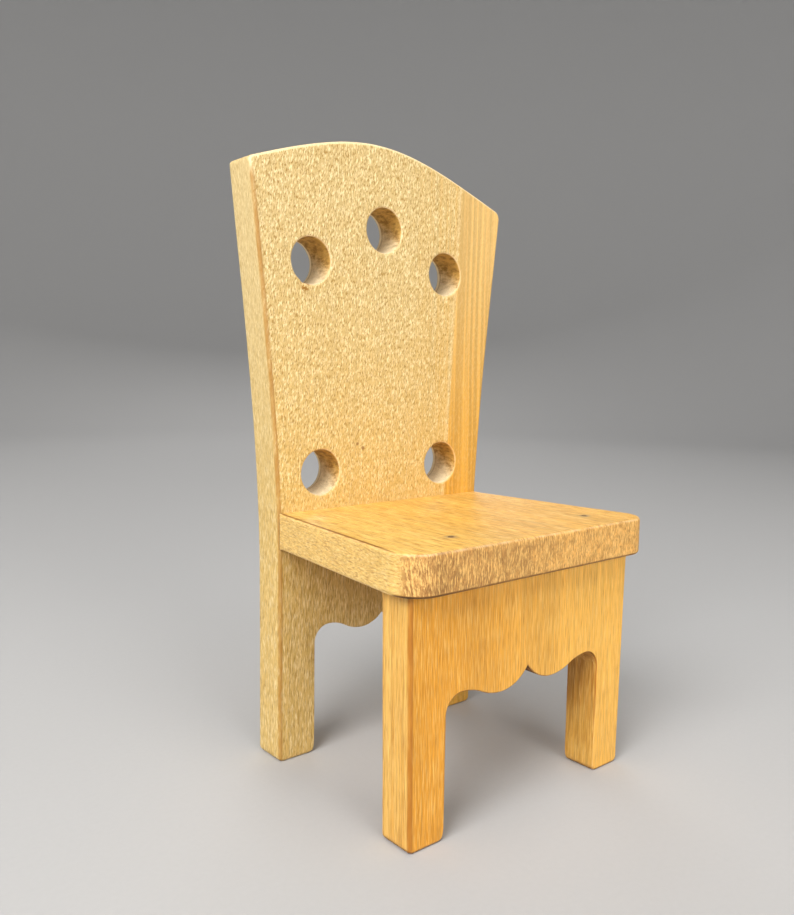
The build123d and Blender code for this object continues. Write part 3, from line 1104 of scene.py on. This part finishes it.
# Name, place, size, power and tint of each soft light.
LIGHTS = (
    ("overhead", (-0.15, -0.25, 1.0), 0.9, 4.9, (1.0, 0.98, 0.95)),
    ("front", (-0.1, -1.0, 0.35), 0.6, 5.5, (1.0, 0.97, 0.93)),
    ("left", (-0.85, -0.30, 0.78), 0.7, 14.0, (1.0, 0.98, 0.96)),
    ("rear", (0.6, 1.0, 0.7), 0.8, 3.5, (1.0, 0.98, 0.96)),
)
LIT_POINT = (0.0, 0.0, 0.08)
AIR_COLOUR, AIR_STRENGTH = (0.95, 0.97, 1.0, 1.0), 0.12


def floor_mesh():
    """A round floor that sweeps up smoothly into a low wall on all sides."""
    flat, bend, top, turns = 1.1, 0.6, 1.4, 96
    profile = [(0.2, 0.0), (flat / 2, 0.0)]
    profile += [(flat + bend * math.sin(a), bend * (1 - math.cos(a)))
                for a in np.linspace(0, math.pi / 2, 14)]
    profile.append((flat + bend, top))
    vertices = [(0.0, 0.0, 0.0)]
    for radius, height in profile:
        for k in range(turns):
            angle = 2 * math.pi * k / turns
            vertices.append((radius * math.cos(angle), radius * math.sin(angle), height))
    faces = [(0, 1 + k, 1 + (k + 1) % turns) for k in range(turns)]
    for ring in range(len(profile) - 1):
        a, b = 1 + ring * turns, 1 + (ring + 1) * turns
        faces += [(a + k, b + k, b + (k + 1) % turns, a + (k + 1) % turns) for k in range(turns)]
    data = bpy.data.meshes.new("studio_floor")
    data.from_pydata(vertices, [], faces)
    data.shade_smooth()
    return data


def floor_paper(colours):
    """Plain paper with a faint tooth."""
    paint = Paint("studio_paper")
    tooth = paint.noise(paint.place(), (0.7, 0.7, 0.7), 3.0, 0.6)
    base = paint.mix(tooth, scaled(colours.floor, 0.97), scaled(colours.floor, 1.03))
    return paint.finish(base, 0.85 + tooth * 0.1, tooth, 0.03 * MM)


def soft_light(name, place, size, power, tint):
    """A round area light aimed at the chair."""
    lamp = bpy.data.lights.new(name, "AREA")
    lamp.shape, lamp.size, lamp.energy, lamp.color = "DISK", size, power, tint
    holder = bpy.data.objects.new(name, lamp)
    holder.location = place
    holder.rotation_euler = (Vector(LIT_POINT) - Vector(place)).to_track_quat("-Z", "Y").to_euler()
    bpy.context.scene.collection.objects.link(holder)


def studio_air(strength):
    """Even light from all round."""
    world = bpy.data.worlds.new("studio_air")
    world.use_nodes = True
    air = world.node_tree.nodes["Background"]
    air.inputs["Color"].default_value = AIR_COLOUR
    air.inputs["Strength"].default_value = strength
    return world


def studio_camera():
    """The camera, turned, tilted and rolled."""
    camera = bpy.data.cameras.new("camera")
    camera.lens, camera.sensor_width, camera.clip_start = LENS, SENSOR, 0.01
    holder = bpy.data.objects.new("camera", camera)
    holder.location = CAMERA_PLACE
    turn, tilt = math.radians(CAMERA_TURN), math.radians(CAMERA_TILT)
    forward = Vector((math.sin(turn) * math.cos(tilt), math.cos(turn) * math.cos(tilt), math.sin(tilt)))
    roll = Quaternion((0, 0, 1), math.radians(CAMERA_ROLL))
    holder.rotation_mode = "QUATERNION"
    holder.rotation_quaternion = forward.to_track_quat("-Z", "Y") @ roll
    return holder


class CHAIR_OT_stage(bpy.types.Operator):
    """Set up the pale floor, the soft lights and the camera"""
    bl_idname = "chair.stage"
    bl_label = "Stage"

    def execute(self, context):
        scene, colours = context.scene, settings().stage
        floor = bpy.data.objects.new("studio_floor", floor_mesh())
        floor.data.materials.append(floor_paper(colours))
        scene.collection.objects.link(floor)
        for name, place, size, power, tint in LIGHTS:
            soft_light(name, place, size, power * colours.light, tint)
        scene.world = studio_air(AIR_STRENGTH * colours.light)
        scene.view_settings.view_transform = "Standard"
        camera = studio_camera()
        scene.collection.objects.link(camera)
        scene.camera = camera
        return {"FINISHED"}


# ---- add-on ----

class ChairSettings(bpy.types.PropertyGroup):
    """Everything that can be set."""
    back: bpy.props.PointerProperty(type=BackSizes, name="Back", description="Back board")
    seat: bpy.props.PointerProperty(type=SeatSizes, name="Seat", description="Seat board")
    legs: bpy.props.PointerProperty(type=LegSizes, name="Legs", description="Front leg board")
    sawn: bpy.props.PointerProperty(type=SawnSizes, name="Sawn", description="Shared sizes")
    wood: bpy.props.PointerProperty(type=WoodColours, name="Wood", description="Colours of the wood")
    stage: bpy.props.PointerProperty(type=StageColours, name="Stage", description="Floor and lights")


STEPS = (CHAIR_OT_stage, CHAIR_OT_back, CHAIR_OT_seat, CHAIR_OT_legs, CHAIR_OT_brads)


class CHAIR_PT_panel(bpy.types.Panel):
    """Sidebar panel with the chair's steps and sizes"""
    bl_idname = "CHAIR_PT_panel"
    bl_label = "Miniature Chair"
    bl_space_type = "VIEW_3D"
    bl_region_type = "UI"
    bl_category = "Chair"

    def draw(self, context):
        layout = self.layout
        for step in STEPS:
            layout.operator(step.bl_idname)
        for part in ChairSettings.__annotations__:
            box, group = layout.box(), getattr(settings(), part)
            box.label(text=part.capitalize())
            for name in group.__annotations__:
                box.prop(group, name)


CLASSES = (BackSizes, SeatSizes, LegSizes, SawnSizes, WoodColours, StageColours, ChairSettings,
           *STEPS, CHAIR_PT_panel)


def register():
    for cls in CLASSES:
        bpy.utils.register_class(cls)
    bpy.types.Scene.chair = bpy.props.PointerProperty(type=ChairSettings)


def unregister():
    del bpy.types.Scene.chair
    for cls in reversed(CLASSES):
        bpy.utils.unregister_class(cls)


def main():
    register()
    bpy.ops.chair.stage()
    bpy.ops.chair.back()
    bpy.ops.chair.seat()
    bpy.ops.chair.legs()
    bpy.ops.chair.brads()


if __name__ == "__main__":
    main()
